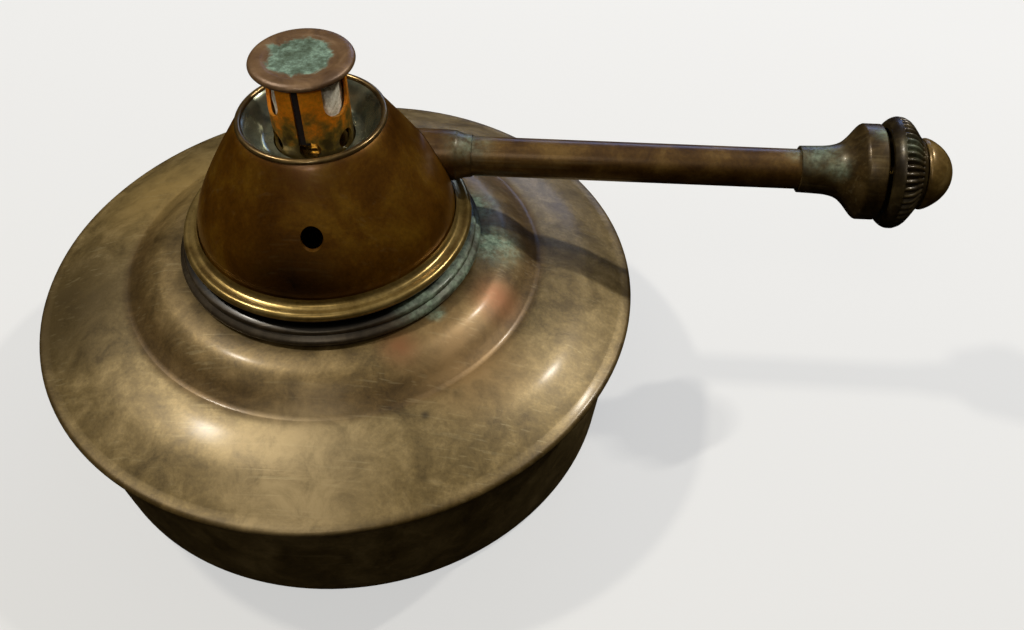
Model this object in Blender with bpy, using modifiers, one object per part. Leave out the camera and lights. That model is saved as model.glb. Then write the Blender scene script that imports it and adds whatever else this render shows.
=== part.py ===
"""Alcohol spirit stove: a round spun-brass font that carries a screw-on vapour burner.

The font is a flat-bottomed pan closed by a stepped cover.  A dome-shaped burner screws into
the font's neck.  Its wick draws spirit up to a vapour chamber, and the flame burns round a
slotted barrel under a flat cap.  The handle tube enters the dome to one side of its axis:
inside it runs a long spindle, whose wheel stands beside the wick tube and trims the wick.

Frame: +Z up, +X along the handle, origin at the centre of the font's flat base.
Every size below is in millimetres; MM turns it to Blender's metres.
"""

import math

import bmesh
import bpy
from mathutils import Matrix

MM = 0.001
GAP = 0.3                    # clearance kept between neighbouring pieces

# Driving dimensions
FLANGE_R = 63.5              # the cover's rolled rim, a 5 inch flange
SHEET = 0.8                  # spun sheet thickness
RIM_Z = 32.0                 # height of the rim above the base
BASE_FLAT_R = 55.4           # flat face the stove stands on
STEP_R = 43.7                # crease between the cover's two rings
NECK_BORE_R = 26.0
NECK_TOP_Z = 49.2
LIP_R = 29.3                 # rolled lip at the foot of the dome
DOME_FOOT_Z = 50.6
MOUTH_Z = 76.9
HANDLE_Y = 12.2              # the handle and its spindle run beside the stove's axis
HANDLE_Z = 58.4
TUBE_R = 4.05
TUBE_BORE_R = 3.3
SPINDLE_R = 1.3
BARREL_R = 7.5
BARREL_BORE_R = 6.9
BARREL_FOOT_Z = 71.2
BARREL_TOP_Z = 87.6
CAP_R = 9.7
WICK_TUBE_R = 5.1
WICK_R = 4.0

# Openings in the burner
AIR_HOLE_R = 2.1
AIR_HOLE_Z = 64.7
AIR_HOLE_ANGLES = (-83.0, 97.0)
PORT_R = 2.0                 # air ports round the barrel's foot
PORT_Z = 73.7
PORT_COUNT = 6
FIRST_PORT_ANGLE = -83.0
SEAM_ANGLE = -92.0           # the barrel's long seam runs down into the first port's side
SEAM_WIDTH = 1.4
WINDOW_WIDTH = 6.6           # flame windows under the cap, each with a round foot
WINDOW_FOOT_Z = 79.4
WINDOW_COUNT = 3
FIRST_WINDOW_ANGLE = -28.0
FLUTES = 48                  # flutes round the knob's shoulder
FLUTE_DEPTH = 0.45

LARGE, MEDIUM, SMALL = 40, 28, 20      # segments round a turned piece


# ---------------------------------------------------------------- scene and materials

def clear_scene():
    for obj in list(bpy.data.objects):
        bpy.data.objects.remove(obj, do_unlink=True)


def new_collection(name):
    collection = bpy.data.collections.new(name)
    bpy.context.scene.collection.children.link(collection)
    return collection


def metal(name, colour, roughness, metallic=1.0):
    material = bpy.data.materials.new(name)
    material.use_nodes = True
    shader = material.node_tree.nodes["Principled BSDF"]
    shader.inputs["Base Color"].default_value = (*colour, 1.0)
    shader.inputs["Roughness"].default_value = roughness
    shader.inputs["Metallic"].default_value = metallic
    return material


clear_scene()
STOVE = new_collection("spirit_stove")
CUTTERS = new_collection("cutters")
CUTTERS.hide_render = True

FONT_BRASS = metal("font_brass", (0.22, 0.16, 0.07), 0.38)
DOME_BRASS = metal("dome_brass", (0.15, 0.09, 0.025), 0.33)
DARK_BRASS = metal("dark_brass", (0.12, 0.085, 0.04), 0.42)
BRIGHT_BRASS = metal("bright_brass", (0.42, 0.33, 0.16), 0.25)
COPPER = metal("copper", (0.48, 0.20, 0.06), 0.28)
VERDIGRIS = metal("verdigris_cap", (0.16, 0.22, 0.16), 0.65, 0.4)
FIBRE = metal("mineral_fibre", (0.60, 0.57, 0.46), 0.9, 0.0)
LEATHER = metal("leather", (0.10, 0.05, 0.025), 0.8, 0.0)
PACKING = metal("graphite_packing", (0.05, 0.05, 0.05), 0.8, 0.0)
COTTON = metal("cotton_wick", (0.62, 0.56, 0.42), 0.9, 0.0)


# ---------------------------------------------------------------- shape helpers

def profile_object(name, points, closed):
    """A mesh of edges in the XZ plane: a turned piece's (radius, height) outline."""
    mesh = bpy.data.meshes.new(name)
    edges = [(i, i + 1) for i in range(len(points) - 1)]
    if closed:
        edges.append((len(points) - 1, 0))
    mesh.from_pydata([(r * MM, 0.0, z * MM) for r, z in points], edges, [])
    return bpy.data.objects.new(name, mesh)


def turned(name, points, material, segments=MEDIUM, closed=True, collection=None):
    """Turns an outline round Z.  The outline runs down its outer side.

    A closed outline makes a ring; an open one starts and ends on the axis.
    """
    obj = profile_object(name, points, closed)
    (collection or STOVE).objects.link(obj)
    screw = obj.modifiers.new("turn", "SCREW")
    screw.axis = "Z"
    screw.angle = 2 * math.pi
    screw.steps = screw.render_steps = segments
    screw.use_merge_vertices = True
    screw.merge_threshold = 0.00005
    screw.use_smooth_shade = True
    if material:
        obj.data.materials.append(material)
    return obj


def lay_along_handle(obj):
    """Turns a piece made round Z so that it lies round the handle's axis."""
    obj.rotation_euler = (0.0, math.radians(90), 0.0)
    obj.location = (0.0, HANDLE_Y * MM, HANDLE_Z * MM)
    return obj


def spun_sheet(name, outline, material, segments=LARGE, closed_foot=False):
    """A spun sheet: an open outline turned round Z, thickened towards the inside."""
    obj = turned(name, outline, material, segments, closed=False)
    if not closed_foot:
        obj.modifiers["turn"].use_merge_vertices = False
        weld = obj.modifiers.new("weld", "WELD")
        weld.merge_threshold = 0.00005
    wall = obj.modifiers.new("sheet", "SOLIDIFY")
    wall.thickness = SHEET * MM
    wall.offset = -1.0
    wall.use_even_offset = True
    return obj


def hide_cutter(obj):
    obj.hide_render = True
    obj.display_type = "WIRE"
    return obj


def rod_cutter(name, radius, start, end, matrix, segments=24):
    """A cylinder from start to end along its own Z, placed by matrix."""
    mesh = bpy.data.meshes.new(name)
    work = bmesh.new()
    middle = Matrix.Translation((0.0, 0.0, (start + end) / 2 * MM))
    bmesh.ops.create_cone(
        work, cap_ends=True, segments=segments, radius1=radius * MM, radius2=radius * MM,
        depth=(end - start) * MM, matrix=matrix @ middle)
    work.to_mesh(mesh)
    work.free()
    obj = bpy.data.objects.new(name, mesh)
    CUTTERS.objects.link(obj)
    return hide_cutter(obj)


def block_cutter(name, size, centre, angle):
    """A box of that size, its centre out along +X, then turned by angle round Z."""
    mesh = bpy.data.meshes.new(name)
    work = bmesh.new()
    bmesh.ops.create_cube(work, size=1.0)
    scale = Matrix.Diagonal((*(s * MM for s in size), 1.0))
    place = Matrix.Translation([c * MM for c in centre])
    work.transform(Matrix.Rotation(math.radians(angle), 4, "Z") @ place @ scale)
    work.to_mesh(mesh)
    work.free()
    obj = bpy.data.objects.new(name, mesh)
    CUTTERS.objects.link(obj)
    return hide_cutter(obj)


def radial(angle, height):
    """Matrix that lays a rod's own Z along a radius, at that angle and height."""
    return (Matrix.Translation((0.0, 0.0, height * MM))
            @ Matrix.Rotation(math.radians(angle), 4, "Z")
            @ Matrix.Rotation(math.radians(90), 4, "Y"))


def boolean(obj, other, operation="DIFFERENCE"):
    modifier = obj.modifiers.new(operation.lower(), "BOOLEAN")
    modifier.operation = operation
    modifier.solver = "EXACT"
    modifier.object = other


# ---------------------------------------------------------------- the font

def make_pan():
    """The pan's lip sits inside the cover's rolled rim; the wall tapers to a flat base."""
    outline = [
        (62.3, 31.0), (61.0, 30.95), (60.5, 30.3), (57.9, 2.6), (57.3, 1.0), (56.4, 0.25),
        (BASE_FLAT_R, 0.0), (0.0, 0.0)]
    return spun_sheet("reservoir_pan", outline, FONT_BRASS, closed_foot=True)


def make_cover():
    """From the neck's hole out over the raised ring, down the step, over the broad
    outer ring, round the rolled rim and back under the pan's lip."""
    raised_ring = [(26.8, 45.2), (33.2, 45.1), (36.2, 44.3), (39.2, 42.6), (41.8, 40.6)]
    step = [(STEP_R - 0.3, 39.6), (STEP_R + 0.9, 39.3)]
    outer_ring = [(48.8, 38.5), (53.6, 37.0), (58.4, 34.8), (62.0, 33.1)]
    rim = [
        (FLANGE_R - 0.4, RIM_Z + 0.5), (FLANGE_R, RIM_Z - 0.2), (FLANGE_R, RIM_Z - 1.1),
        (FLANGE_R - 0.6, RIM_Z - 2.1), (FLANGE_R - 2.2, RIM_Z - 2.1)]
    return spun_sheet("reservoir_cover", raised_ring + step + outer_ring + rim, FONT_BRASS)


def make_neck_collar():
    """The beaded ring soldered round the neck, with two turns of thread in its bore."""
    outside = [
        (29.3, NECK_TOP_Z), (30.2, 48.9), (30.5, 48.3), (29.9, 47.5), (30.7, 47.0),
        (31.0, 46.3), (30.5, 45.6)]
    bore = [(NECK_BORE_R, 45.6)]
    for thread_z in (46.7, 47.9):
        bore += [
            (NECK_BORE_R, thread_z - 0.4), (NECK_BORE_R - 0.5, thread_z), (NECK_BORE_R, thread_z + 0.4)]
    bore.append((NECK_BORE_R, NECK_TOP_Z))
    return turned("neck_collar", outside + bore, DARK_BRASS, LARGE)


def make_neck_gasket():
    foot = NECK_TOP_Z + GAP
    ring = [(28.9, foot + 0.8), (28.9, foot), (26.3, foot), (26.3, foot + 0.8)]
    return turned("neck_gasket", ring, LEATHER, MEDIUM)


# ---------------------------------------------------------------- the burner

DOME_OUTSIDE = [
    (13.0, 76.7), (13.6, MOUTH_Z), (14.2, 76.5), (15.3, 74.5), (17.5, 71.2), (20.1, 67.0),
    (22.7, 62.6), (24.6, 58.8), (25.7, 55.6), (26.0, 53.0), (26.4, 52.3), (27.5, 51.95),
    (28.7, 51.9), (LIP_R, 51.25), (28.9, DOME_FOOT_Z)]


def make_dome():
    """The bell: a narrow rolled mouth, a full shoulder and a flared lip at the foot."""
    inside = [
        (25.9, DOME_FOOT_Z), (25.1, 51.2), (25.1, 54.0), (23.8, 58.4), (21.8, 62.4),
        (19.2, 66.7), (16.6, 70.9), (14.5, 74.1), (13.0, 76.1)]
    dome = turned("burner_dome", DOME_OUTSIDE + inside, DOME_BRASS, LARGE)
    for index, angle in enumerate(AIR_HOLE_ANGLES):
        hole = rod_cutter(f"air_hole_{index}", AIR_HOLE_R, 10.0, 35.0, radial(angle, AIR_HOLE_Z))
        boolean(dome, hole)
    beside = Matrix.Translation((0.0, HANDLE_Y * MM, 0.0))
    handle_hole = rod_cutter("handle_hole", TUBE_R + GAP, 10.0, 35.0, beside @ radial(0.0, HANDLE_Z))
    boolean(dome, handle_hole)
    return dome


def make_burner_base():
    """The threaded plug under the dome: its skirt screws into the neck collar."""
    skirt_r = 24.6
    outside = [(skirt_r, 52.2), (skirt_r, 49.1)]
    for thread_z in (48.6, 47.3, 46.0):
        outside += [
            (skirt_r, thread_z + 0.4), (skirt_r + 0.5, thread_z), (skirt_r, thread_z - 0.4)]
    inside = [
        (skirt_r, 44.0), (skirt_r - 1.0, 44.0), (skirt_r - 1.0, 51.2),
        (WICK_TUBE_R + GAP, 51.2), (WICK_TUBE_R + GAP, 52.2)]
    return turned("burner_base", outside + inside, BRIGHT_BRASS, MEDIUM)


def make_wick_tube():
    bore = WICK_R + 0.4
    ring = [(WICK_TUBE_R, 60.7), (WICK_TUBE_R, 8.0), (bore, 8.0), (bore, 60.7)]
    return turned("wick_tube", ring, BRIGHT_BRASS, SMALL)


def make_wick():
    """A cotton rope whose frayed tail spreads over the pan's floor."""
    outline = [
        (0.0, 60.2), (WICK_R, 60.2), (WICK_R, 7.4), (5.2, 5.4), (7.6, 3.4), (8.8, 1.8),
        (8.4, SHEET + 0.4), (0.0, SHEET + 0.4)]
    return turned("wick", outline, COTTON, SMALL, closed=False)


def make_vapour_chamber():
    """The chamber over the wick where the spirit turns to vapour."""
    outline = [
        (6.2, 70.9), (6.2, 63.0), (5.5, 62.2), (5.5, 61.0), (3.6, 61.0), (3.6, 65.2),
        (0.9, 66.0), (0.9, 70.9)]
    return turned("vapour_chamber", outline, BRIGHT_BRASS, SMALL)


def make_jet_nipple():
    foot = BARREL_FOOT_Z
    outline = [
        (1.2, foot + 3.0), (2.2, foot + 1.8), (3.4, foot + 1.2), (3.4, foot),
        (0.5, foot), (0.5, foot + 3.0)]
    return turned("jet_nipple", outline, BRIGHT_BRASS, 20)


def make_flame_cup():
    """The bright cup in the dome's mouth that holds the priming spirit."""
    outline = [
        (12.5, 76.0), (12.4, 75.2), (10.6, 72.2), (9.6, 71.2), (BARREL_R + GAP, 71.2),
        (BARREL_R + GAP, 71.8), (9.3, 71.8), (10.2, 72.9), (11.8, 75.4), (11.9, 76.0)]
    return turned("flame_cup", outline, BRIGHT_BRASS, MEDIUM)


def make_barrel():
    """The rolled barrel: air ports round its foot, flame windows under the cap, and an
    open seam that runs from the top edge into the side of one port."""
    ring = [
        (BARREL_R, BARREL_TOP_Z), (BARREL_R, BARREL_FOOT_Z),
        (BARREL_BORE_R, BARREL_FOOT_Z), (BARREL_BORE_R, BARREL_TOP_Z)]
    barrel = turned("burner_barrel", ring, COPPER, MEDIUM)
    start, end = 5.0, 9.0                   # the cutters' reach through the barrel's wall
    above = 2.0                             # and clear of its top edge
    for index in range(PORT_COUNT):
        angle = FIRST_PORT_ANGLE + index * 360 / PORT_COUNT
        port = rod_cutter(f"port_{index}", PORT_R, start, end, radial(angle, PORT_Z), 14)
        boolean(barrel, port)

    def slot(name, width, foot_z, angle):
        height = BARREL_TOP_Z + above - foot_z
        size = (end - start, width, height)
        boolean(barrel, block_cutter(name, size, ((start + end) / 2, 0.0, foot_z + height / 2), angle))

    foot_r = WINDOW_WIDTH / 2
    for index in range(WINDOW_COUNT):
        angle = FIRST_WINDOW_ANGLE + index * 360 / WINDOW_COUNT
        place = radial(angle, WINDOW_FOOT_Z + foot_r)
        boolean(barrel, rod_cutter(f"window_foot_{index}", foot_r, start, end, place, 20))
        slot(f"window_{index}", WINDOW_WIDTH, WINDOW_FOOT_Z + foot_r, angle)
    slot("seam", SEAM_WIDTH, PORT_Z, SEAM_ANGLE)
    return barrel


def make_diffuser():
    """A plug of pale mineral fibre, seen through the windows, that spreads the vapour."""
    radius = BARREL_BORE_R - 0.4
    outline = [
        (0.0, 85.2), (radius - 0.8, 85.2), (radius, 84.4), (radius, 78.0), (radius - 0.6, 77.4), (0.0, 77.4)]
    return turned("barrel_diffuser", outline, FIBRE, SMALL, closed=False)


def make_cap():
    """A flat disc, shallowly dished on top, with a spigot that plugs the barrel."""
    spigot_r = BARREL_BORE_R - 0.4
    outline = [
        (0.0, 89.05), (6.2, 89.05), (7.0, 89.3), (9.0, 89.4), (CAP_R, 88.8),
        (9.3, 88.0), (8.0, 87.9), (spigot_r, 87.9), (spigot_r, 86.2), (6.0, 85.6), (0.0, 85.6)]
    return turned("burner_cap", outline, VERDIGRIS, MEDIUM, closed=False)


# ---------------------------------------------------------------- handle, spindle and knob
# These outlines are (radius, distance along the handle from the plane through the stove's axis).

def make_handle_tube():
    ring = [(TUBE_R, 102.3), (TUBE_R, 12.8), (TUBE_BORE_R, 12.8), (TUBE_BORE_R, 102.3)]
    return lay_along_handle(turned("handle_tube", ring, DARK_BRASS, SMALL))


def make_handle_collar():
    """The soldered saddle where the tube meets the dome, its back hollowed to fit."""
    inner = TUBE_R + GAP
    outline = [(inner + 0.2, 28.6), (4.8, 27.2), (5.1, 25.4), (5.3, 13.0), (inner, 13.0), (inner, 28.6)]
    collar = lay_along_handle(turned("handle_collar", outline, DARK_BRASS, SMALL))
    swell = [(r + 0.35, z) for r, z in DOME_OUTSIDE if 52.0 < z < MOUTH_Z - 0.4]
    envelope = [(0.0, 78.0), (swell[0][0], 78.0)] + swell + [(0.0, swell[-1][1])]
    boolean(collar, hide_cutter(turned("dome_envelope", envelope, None, LARGE, False, CUTTERS)))
    return collar


def make_spindle_bush():
    inner, outer = SPINDLE_R + GAP, TUBE_BORE_R - GAP
    ring = [(outer, 38.0), (outer, 30.0), (inner, 30.0), (inner, 38.0)]
    return lay_along_handle(turned("spindle_bush", ring, BRIGHT_BRASS, 20))


def make_gland_housing():
    """The trumpet at the handle's end: a straight socket that flares to a short band."""
    socket_r = TUBE_R + GAP
    bore = SPINDLE_R + GAP
    outside = [
        (9.3, 110.9), (9.65, 110.6), (9.65, 107.2), (8.7, 106.3), (6.75, 104.8), (5.55, 103.1),
        (4.95, 101.2), (4.75, 95.2)]
    inside = [
        (socket_r, 95.2), (socket_r, 102.6), (bore, 102.6), (bore, 104.2),
        (5.2, 104.2), (5.2, 107.6), (8.4, 107.6), (8.4, 110.9)]
    return lay_along_handle(turned("gland_housing", outside + inside, DARK_BRASS, MEDIUM))


def make_gland_packing():
    inner = SPINDLE_R + GAP
    ring = [(4.9, 107.3), (4.9, 104.5), (inner, 104.5), (inner, 107.3)]
    return lay_along_handle(turned("gland_packing", ring, PACKING, SMALL))


def make_gland_nut():
    inner = SPINDLE_R + GAP
    ring = [(8.0, 110.5), (8.0, 107.9), (inner, 107.9), (inner, 110.5)]
    return lay_along_handle(turned("gland_nut", ring, BRIGHT_BRASS, SMALL))


def make_wick_spindle():
    """The knob's long spindle, with the wheel that stands beside the wick tube."""
    wheel_r = 5.6
    outline = [
        (0.0, 122.7), (1.0, 122.7), (SPINDLE_R, 122.4), (SPINDLE_R, 1.2), (wheel_r, 1.2),
        (wheel_r, -1.2), (0.0, -1.2)]
    return lay_along_handle(turned("wick_spindle", outline, BRIGHT_BRASS, 20, closed=False))


def make_knob():
    """The hollow knob with a fluted shoulder, made as one ring and then fluted."""
    fluted = [(7.95, 118.3), (9.35, 117.15), (10.7, 115.85), (11.2, 114.8), (11.25, 113.8)]
    outside = [(7.1, 119.1)] + fluted + [(10.8, 112.8), (9.9, 111.8)]
    cavity_r = 9.0
    bore = SPINDLE_R + GAP
    inside = [(cavity_r, 111.8), (cavity_r, 113.6), (bore, 113.6), (bore, 119.1)]
    outline = outside + inside
    work = bmesh.new()
    verts = [work.verts.new((r * MM, 0.0, z * MM)) for r, z in outline]
    edges = [work.edges.new((verts[i], verts[(i + 1) % len(verts)])) for i in range(len(verts))]
    bmesh.ops.spin(
        work, geom=verts + edges, cent=(0, 0, 0), axis=(0, 0, 1),
        angle=2 * math.pi, steps=2 * FLUTES, use_merge=True)
    bmesh.ops.recalc_face_normals(work, faces=work.faces)
    heights = [z for _, z in fluted]
    for vert in work.verts:
        radius = vert.co.xy.length / MM
        column = round(math.atan2(vert.co.y, vert.co.x) / (math.pi / FLUTES))
        in_band = min(heights) - 0.01 < vert.co.z / MM < max(heights) + 0.01
        if in_band and radius > 3.0 and column % 2:
            vert.co.xy *= (radius - FLUTE_DEPTH) / radius
    mesh = bpy.data.meshes.new("control_knob")
    work.to_mesh(mesh)
    work.free()
    mesh.materials.append(DARK_BRASS)
    knob = bpy.data.objects.new("control_knob", mesh)
    STOVE.objects.link(knob)
    return lay_along_handle(knob)


def make_knob_nut():
    """The domed nut that holds the knob on the spindle."""
    bore = SPINDLE_R + GAP
    outline = [
        (0.0, 125.7), (1.7, 125.5), (3.6, 124.7), (5.4, 123.2), (6.7, 121.3), (7.2, 120.0),
        (7.1, 119.4), (bore, 119.4), (bore, 123.2), (0.0, 123.2)]
    return lay_along_handle(turned("knob_nut", outline, DARK_BRASS, SMALL, closed=False))


# ---------------------------------------------------------------- build

def main():
    for make in (
            make_pan, make_cover, make_neck_collar, make_neck_gasket, make_dome, make_burner_base,
            make_wick_tube, make_wick, make_vapour_chamber, make_jet_nipple, make_flame_cup,
            make_barrel, make_diffuser, make_cap, make_handle_tube, make_handle_collar,
            make_spindle_bush, make_gland_housing, make_gland_packing, make_gland_nut,
            make_wick_spindle, make_knob, make_knob_nut):
        make()


main()
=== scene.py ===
# %% [markdown]
# # A brass spirit stove
# The stove is a round brass font that holds the spirit, a dome-shaped burner that screws into
# its neck, and a long handle with a regulator knob.  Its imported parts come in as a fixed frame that
# gives every place and every moving body.  The pieces below are finer versions of those parts.
# Outlines are in millimetres, measured from edges that the frame gives.

import math

import bmesh
import bpy
from mathutils import Matrix, Vector, noise


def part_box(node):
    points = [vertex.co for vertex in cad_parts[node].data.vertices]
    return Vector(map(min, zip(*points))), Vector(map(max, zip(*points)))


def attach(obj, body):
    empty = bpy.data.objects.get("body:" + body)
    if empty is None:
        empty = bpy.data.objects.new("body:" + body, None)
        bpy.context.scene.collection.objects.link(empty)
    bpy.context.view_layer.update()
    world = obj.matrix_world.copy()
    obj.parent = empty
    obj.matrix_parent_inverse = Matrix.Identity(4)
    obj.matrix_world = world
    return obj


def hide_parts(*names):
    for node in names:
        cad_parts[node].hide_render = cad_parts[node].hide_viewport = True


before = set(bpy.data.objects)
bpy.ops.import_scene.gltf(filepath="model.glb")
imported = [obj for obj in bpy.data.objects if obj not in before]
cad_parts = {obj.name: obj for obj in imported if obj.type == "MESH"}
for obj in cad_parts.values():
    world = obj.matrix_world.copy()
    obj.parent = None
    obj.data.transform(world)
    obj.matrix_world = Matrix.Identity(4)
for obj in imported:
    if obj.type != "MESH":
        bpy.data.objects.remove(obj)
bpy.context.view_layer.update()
MM = 0.001

# %% [markdown]
# Most pieces are round about the stove's upright axis and the rest about the handle's axis.
# Two small functions read a node's radius and its two ends from the frame, so that a finer
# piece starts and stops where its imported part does.

# %% Read sizes from the frame
HANDLE_Y = sum(corner.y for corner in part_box("handle_tube")) / 2 / MM
HANDLE_Z = sum(corner.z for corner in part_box("handle_tube")) / 2 / MM


def upright(node):
    """A node's radius, lowest and highest height."""
    low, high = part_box(node)
    return high.x / MM, low.z / MM, high.z / MM


def lying(node):
    """A node's radius about the handle's axis, and where it starts and ends along it."""
    low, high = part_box(node)
    return (high.z - low.z) / 2 / MM, low.x / MM, high.x / MM


flange_r, rim_z, shoulder_z = upright("reservoir_cover")
print(f"flange radius {flange_r:.1f} mm, handle {HANDLE_Z:.1f} mm up and {HANDLE_Y:.1f} mm behind the axis")

# %% [markdown]
# A spun or lathe-turned piece is an outline carried once round an axis.  The outlines need soft
# curves, rolled beads and an even sheet thickness.  A spline through a few given points
# gives the soft curves, an arc gives each bead, and an outline moved sideways by the sheet's
# thickness gives the inner wall.

# %% Outline helpers
def smooth(points, steps=6):
    """A soft curve through the points, as a spun sheet takes over its former."""
    ends = [points[0], *points, points[-1]]
    curve = []
    for a, b, c, d in zip(ends, ends[1:], ends[2:], ends[3:]):
        for step in range(steps):
            t = step / steps
            weights = (
                -t ** 3 + 2 * t ** 2 - t, 3 * t ** 3 - 5 * t ** 2 + 2,
                -3 * t ** 3 + 4 * t ** 2 + t, t ** 3 - t ** 2)
            curve.append(tuple(
                sum(w * p[axis] for w, p in zip(weights, (a, b, c, d))) / 2 for axis in (0, 1)))
    return curve + [tuple(points[-1])]


def arc(centre, radius, start, end, steps=8):
    """Points on an arc, its angles in degrees, 0 outwards and 90 up."""
    angles = [math.radians(start + (end - start) * i / steps) for i in range(steps + 1)]
    return [(centre[0] + radius * math.cos(a), centre[1] + radius * math.sin(a)) for a in angles]


def walled(outside, thickness):
    """Closes an open outline that runs outwards and down, with an inner wall behind it."""
    inside = []
    for i, (r, z) in enumerate(outside):
        before, after = outside[max(i - 1, 0)], outside[min(i + 1, len(outside) - 1)]
        along = Vector((after[0] - before[0], after[1] - before[1])).normalized()
        inside.append((max(r + along.y * thickness, 0.0), z - along.x * thickness))
    return outside + inside[::-1]


print("an arc of 4 steps:", [tuple(round(v, 2) for v in p) for p in arc((0, 0), 1, 0, 90, 4)])

# %% [markdown]
# The spin operator carries the outline round.  A merge closes the seam and the points on the
# axis, and the normals are worked out on the closed shape.  Old spun brass is never quite true,
# so the large pieces get shallow dents, always inwards, a fraction of a millimetre deep.

# %% Turning, laying and denting
ROUND_STEPS = 160


def turned(outline, closed=True, steps=ROUND_STEPS):
    """A bmesh of the outline spun about the upright axis."""
    work = bmesh.new()
    verts = [work.verts.new((r * MM, 0.0, z * MM)) for r, z in outline]
    pairs = list(zip(verts, verts[1:]))
    if closed:
        pairs.append((verts[-1], verts[0]))
    edges = [work.edges.new(pair) for pair in pairs]
    bmesh.ops.spin(
        work, geom=verts + edges, cent=(0, 0, 0), axis=(0, 0, 1),
        angle=2 * math.pi, steps=steps, use_merge=True)
    bmesh.ops.remove_doubles(work, verts=work.verts, dist=0.000002)
    bmesh.ops.recalc_face_normals(work, faces=work.faces)
    return work


def lay(work):
    """Lays a piece turned about Z along the handle's axis."""
    bmesh.ops.transform(work, matrix=along_handle(0.0), verts=work.verts)
    return work


def along_handle(start):
    """A matrix on the handle's axis, start mm along it, whose own Z runs along it."""
    place = Matrix.Translation((start * MM, HANDLE_Y * MM, HANDLE_Z * MM))
    return place @ Matrix.Rotation(math.pi / 2, 4, "Y")


def dent(work, depth, size, seed):
    """Moves the surface inwards by up to depth, in hollows about size across."""
    offset = Vector((seed, -seed, 2 * seed))
    for vert in work.verts:
        dip = 0.5 + 0.5 * noise.noise(vert.co / (size * MM) + offset)
        out = Vector((vert.co.x, vert.co.y, 0.0)).normalized()
        vert.co -= (out + Vector((0, 0, 1))) * dip * depth * MM
    return work


print("a full turn takes", ROUND_STEPS, "steps")


# %% [markdown]
# Every piece is finished in the same way: smooth shading with its real edges left sharp, its
# material, which carries a slot, the body that it moves with, and the imported nodes that it stands for.

# %% Finishing a piece
def placed(name, data):
    """A new object in the scene that shows the data."""
    made = bpy.data.objects.new(name, data)
    bpy.context.scene.collection.objects.link(made)
    return made


def meshed(name, work):
    """Turns a bmesh into a mesh."""
    mesh = bpy.data.meshes.new(name)
    work.to_mesh(mesh)
    work.free()
    return mesh


def piece(work, name, finish, body, nodes, sharp=32):
    """Makes the bmesh a piece of the stove."""
    mesh = meshed(name, work)
    mesh.materials.append(finish)
    mesh.shade_smooth()
    mesh.set_sharp_from_angle(angle=math.radians(sharp))
    made = placed(name, mesh)
    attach(made, body)
    if nodes:
        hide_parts(*nodes)
    print(f"{name}: {len(mesh.polygons)} faces, moves with {body}")
    return made


# %% [markdown]
# Holes and slots are cut with Booleans, because each one is a plain drill or saw cut in the real
# workshop too.  The tools are removed once the piece has their shape.

# %% Cutting tools
def cutter(work):
    """Makes the bmesh a cutting tool."""
    return placed("cutter", meshed("cutter", work))


def drill(radius, reach, matrix):
    """A drill whose middle is at the matrix's origin."""
    work = bmesh.new()
    bmesh.ops.create_cone(
        work, matrix=matrix, cap_ends=True, segments=48, radius1=radius * MM, radius2=radius * MM,
        depth=reach * MM)
    return cutter(work)


def cut(made, tools, sharp=32):
    """Cuts the tools out of a piece and removes them."""
    for tool in tools:
        step = made.modifiers.new("cut", "BOOLEAN")
        step.operation = "DIFFERENCE"
        step.solver = "EXACT"
        step.object = tool
    graph = bpy.context.evaluated_depsgraph_get()
    made.data = bpy.data.meshes.new_from_object(made.evaluated_get(graph))
    made.modifiers.clear()
    made.data.set_sharp_from_angle(angle=math.radians(sharp))
    for tool in tools:
        bpy.data.objects.remove(tool)
    print(f"{made.name}: {len(tools)} cuts, {len(made.data.polygons)} faces")
    return made


def outwards(angle, radius, height):
    """A matrix at that angle, radius and height whose own Z points out from the axis."""
    return (Matrix.Rotation(math.radians(angle), 4, "Z")
            @ Matrix.Translation((radius * MM, 0, height * MM))
            @ Matrix.Rotation(math.pi / 2, 4, "Y"))


# %% [markdown]
# Colours are written as the hex values of a paint chart and turned to linear light once.  One
# function adds a shader node with its settings, its fixed values and its links, and returns one
# of its outputs.  A recipe then reads from the top down, like a list of steps.  A Mix node's
# colour sockets are its numbers 6 and 7, and its colour output is number 2.

# %% Colour and node helpers
def linear(chart):
    """A hex colour such as #8e7c55 as linear red, green, blue and alpha."""
    shares = [int(chart[i:i + 2], 16) / 255 for i in (1, 3, 5)]
    return (*(s / 12.92 if s <= 0.04045 else ((s + 0.055) / 1.055) ** 2.4 for s in shares), 1.0)


def add(tree, kind, values=None, links=None, stops=None, output=0, **settings):
    """Adds a node, sets it up, and returns one of its outputs, the first unless named."""
    node = tree.nodes.new("ShaderNode" + kind)
    for key, value in settings.items():
        setattr(node, key, value)
    if stops:
        elements = node.color_ramp.elements
        for place, shade in stops[1:-1]:
            elements.new(place)
        for element, (place, shade) in zip(elements, stops):
            element.position = place
            element.color = linear(shade) if isinstance(shade, str) else (shade,) * 3 + (1,)
    for socket, value in (values or {}).items():
        node.inputs[socket].default_value = value
    for socket, source in (links or {}).items():
        tree.links.new(source, node.inputs[socket])
    return node.outputs[output]


def new_material(name, slot, **values):
    """A Principled material: its node tree, its shader and the Object coordinates."""
    material = bpy.data.materials.new(name)
    material.use_nodes = True
    material["slot"] = slot
    shader = material.node_tree.nodes["Principled BSDF"]
    for socket, value in values.items():
        shader.inputs[socket.replace("_", " ")].default_value = value
    place = add(material.node_tree, "TexCoord", output="Object")
    return material, material.node_tree, shader, place


print("aged brass in linear light:", [round(v, 3) for v in linear("#8e7c55")])

# %% [markdown]
# A few patterns come back in nearly every finish.  A mottle is a noise of a real size in
# millimetres, and patches are a mottle read through a colour ramp.  A place on the stove, such as
# the spot where verdigris sits, is a soft ball round a point given in the frame's own millimetres.
# A blend lays one colour over another.

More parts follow.
